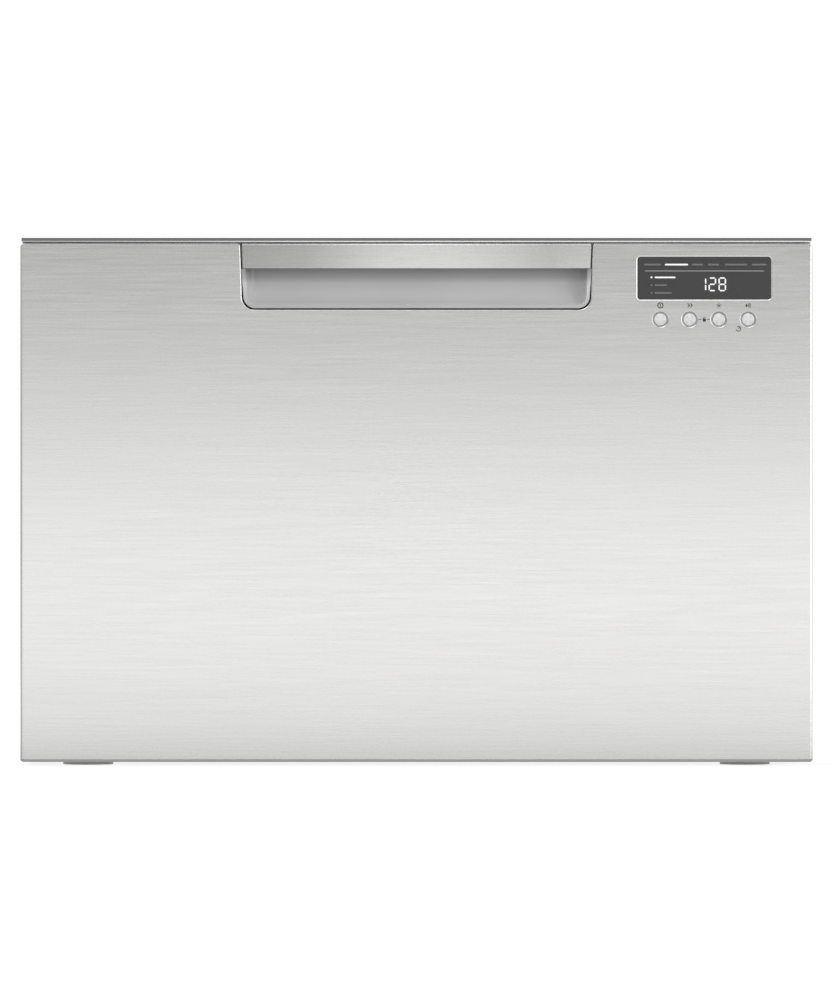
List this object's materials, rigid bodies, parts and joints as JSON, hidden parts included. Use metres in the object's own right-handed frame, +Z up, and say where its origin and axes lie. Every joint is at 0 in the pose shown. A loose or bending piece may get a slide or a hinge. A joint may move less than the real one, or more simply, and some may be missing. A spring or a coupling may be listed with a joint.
{
  "type": "dishwasher drawer",
  "caption": "Built-in dishwasher drawer with a brushed steel front, recessed pull bar and display, sliding out of a low steel chassis.",
  "frame": {"origin": "on the floor, at the middle of the footprint of the closed appliance", "axes": "+X to the right seen from the front, +Y to the rear, +Z up; the drawer opens along -Y"},
  "size_m": [0.599, 0.573, 0.399],
  "materials": {
    "brushed_steel_front": "fine horizontal brushing",
    "trim_metal": "satin",
    "cup_plastic": "fine satin, light grey",
    "dark_plastic": "matt black",
    "grey_plastic": "matt mid grey",
    "liner_plastic": "matt dark grey",
    "lens": "smoked window",
    "board": "green circuit board",
    "button_metal": "spun",
    "tub_plastic": "satin light grey",
    "wash_plastic": "satin dark grey",
    "arm_plastic": "satin grey",
    "rack_wire": "nylon coated wire",
    "basket_plastic": "matt",
    "galvanised": "galvanised sheet",
    "slide_steel": "zinc plated",
    "heater_steel": "heat tinted",
    "seal_rubber": "soft black",
    "lid_seal_rubber": "soft dark grey",
    "lid_plastic": "satin",
    "pinion_plastic": "natural acetal",
    "hose_plastic": "corrugated hose",
    "white_plastic": "off-white",
    "screw_steel": "zinc",
    "cap_blue": "blue grey"
  },
  "bodies": {
    "chassis": {"side_panel_left": "galvanised", "side_panel_right": "galvanised", "back_panel": "galvanised", "base_pan": "galvanised", "top_cover": "galvanised", "front_brace": "slide_steel", "opening_seal": "seal_rubber", "slide_outer_left": "slide_steel", "slide_outer_right": "slide_steel", "lid_motors": "dark_plastic", "inlet_valve": "white_plastic", "drain_connector": "grey_plastic", "terminal_box": "dark_plastic", "drain_hose": "hose_plastic", "chassis_screws": "screw_steel"},
    "drawer": {"front_panel": "brushed_steel_front", "top_trim": "trim_metal", "handle_bar": "brushed_steel_front", "handle_cup": "cup_plastic", "front_liner": "liner_plastic", "display_lens": "lens", "display_board": "board", "control_housing": "dark_plastic", "slide_inner_left": "slide_steel", "slide_inner_right": "slide_steel", "slide_brackets": "slide_steel", "tub": "tub_plastic", "sump": "wash_plastic", "filter_plate": "wash_plastic", "drain_filter": "arm_plastic", "heater_element": "heater_steel", "pump_motor": "dark_plastic", "spray_arm_clip": "wash_plastic", "dispenser_body": "arm_plastic", "base_rack": "rack_wire", "plate_tines": "rack_wire", "cutlery_basket": "basket_plastic", "controller_box": "white_plastic", "fan_housing": "wash_plastic"},
    "lid": {"lid": "lid_plastic", "lid_seal": "lid_seal_rubber"},
    "foot_front_left": {"foot_front_left": "white_plastic"},
    "foot_front_right": {"foot_front_right": "white_plastic"},
    "foot_rear_left": {"foot_rear_left": "white_plastic"},
    "foot_rear_right": {"foot_rear_right": "white_plastic"},
    "slide_middle_left": {"slide_middle_left": "slide_steel"},
    "slide_middle_right": {"slide_middle_right": "slide_steel"},
    "lid_pinion_left": {"lid_pinion_left": "pinion_plastic"},
    "lid_pinion_right": {"lid_pinion_right": "pinion_plastic"},
    "button_power": {"button_power": "button_metal"},
    "button_select": {"button_select": "button_metal"},
    "button_option": {"button_option": "button_metal"},
    "button_start": {"button_start": "button_metal"},
    "pump_rotor": {"pump_rotor": "pinion_plastic"},
    "spray_arm": {"spray_arm": "arm_plastic"},
    "fan_wheel": {"fan_wheel": "dark_plastic"},
    "dispenser_door": {"dispenser_door": "grey_plastic"},
    "rinse_aid_cap": {"rinse_aid_cap": "cap_blue"},
    "cup_rack_left": {"cup_rack_left": "rack_wire"},
    "cup_rack_right": {"cup_rack_right": "rack_wire"}
  },
  "joints": [
    {"name": "drawer_slide", "type": "slide", "parent": "chassis", "child": "drawer", "axis": [0, -1, 0], "range_m": [0, 0.48], "deforming": ["drain_hose"]},
    {"name": "middle_rail_left_slide", "type": "slide", "parent": "chassis", "child": "slide_middle_left", "axis": [0, -1, 0], "range_m": [0, 0.24]},
    {"name": "middle_rail_right_slide", "type": "slide", "parent": "chassis", "child": "slide_middle_right", "axis": [0, -1, 0], "range_m": [0, 0.24]},
    {"name": "lid_lift", "type": "slide", "parent": "chassis", "child": "lid", "axis": [0, 0, 1], "range_m": [-0.006, 0]},
    {"name": "lid_pinion_left_turn", "type": "hinge", "parent": "chassis", "child": "lid_pinion_left", "pos_m": [-0.283, -0.02, 0.383], "axis": [1, 0, 0], "range_deg": [0, 38.3]},
    {"name": "lid_pinion_right_turn", "type": "hinge", "parent": "chassis", "child": "lid_pinion_right", "pos_m": [0.283, -0.02, 0.383], "axis": [1, 0, 0], "range_deg": [0, 38.3]},
    {"name": "foot_front_left_screw", "type": "slide", "parent": "chassis", "child": "foot_front_left", "axis": [0, 0, -1], "range_m": [0, 0.012]},
    {"name": "foot_front_right_screw", "type": "slide", "parent": "chassis", "child": "foot_front_right", "axis": [0, 0, -1], "range_m": [0, 0.012]},
    {"name": "foot_rear_left_screw", "type": "slide", "parent": "chassis", "child": "foot_rear_left", "axis": [0, 0, -1], "range_m": [0, 0.012]},
    {"name": "foot_rear_right_screw", "type": "slide", "parent": "chassis", "child": "foot_rear_right", "axis": [0, 0, -1], "range_m": [0, 0.012]},
    {"name": "button_power_press", "type": "slide", "parent": "drawer", "child": "button_power", "axis": [0, 1, 0], "range_m": [0, 0.0011], "stiffness_N_per_m": 800},
    {"name": "button_select_press", "type": "slide", "parent": "drawer", "child": "button_select", "axis": [0, 1, 0], "range_m": [0, 0.0011], "stiffness_N_per_m": 800},
    {"name": "button_option_press", "type": "slide", "parent": "drawer", "child": "button_option", "axis": [0, 1, 0], "range_m": [0, 0.0011], "stiffness_N_per_m": 800},
    {"name": "button_start_press", "type": "slide", "parent": "drawer", "child": "button_start", "axis": [0, 1, 0], "range_m": [0, 0.0011], "stiffness_N_per_m": 800},
    {"name": "pump_rotor_spin", "type": "hinge", "parent": "drawer", "child": "pump_rotor", "pos_m": [0, -0.02, 0.03], "axis": [0, 0, 1], "continuous": true},
    {"name": "spray_arm_spin", "type": "hinge", "parent": "drawer", "child": "spray_arm", "pos_m": [0, -0.02, 0.095], "axis": [0, 0, 1], "continuous": true},
    {"name": "fan_wheel_spin", "type": "hinge", "parent": "drawer", "child": "fan_wheel", "pos_m": [0.15, -0.202, 0.055], "axis": [0, 0, 1], "continuous": true},
    {"name": "dispenser_door_hinge", "type": "hinge", "parent": "drawer", "child": "dispenser_door", "pos_m": [0.062, -0.2386, 0.276], "axis": [-1, 0, 0], "range_deg": [0, 95]},
    {"name": "rinse_aid_cap_turn", "type": "hinge", "parent": "drawer", "child": "rinse_aid_cap", "pos_m": [0.142, -0.242, 0.305], "axis": [0, 1, 0], "range_deg": [0, 90]},
    {"name": "cup_rack_left_fold", "type": "hinge", "parent": "drawer", "child": "cup_rack_left", "pos_m": [-0.245, -0.0165, 0.254], "axis": [0, -1, 0], "range_deg": [0, 80]},
    {"name": "cup_rack_right_fold", "type": "hinge", "parent": "drawer", "child": "cup_rack_right", "pos_m": [0.245, -0.0165, 0.254], "axis": [0, 1, 0], "range_deg": [0, 80]}
  ],
  "couplings": [
    {"joint": "middle_rail_left_slide", "follows": "drawer_slide", "ratio": 0.5},
    {"joint": "middle_rail_right_slide", "follows": "drawer_slide", "ratio": 0.5},
    {"joint": "lid_pinion_left_turn", "follows": "lid_lift", "rad_per_m": -111.11},
    {"joint": "lid_pinion_right_turn", "follows": "lid_lift", "rad_per_m": -111.11}
  ]
}
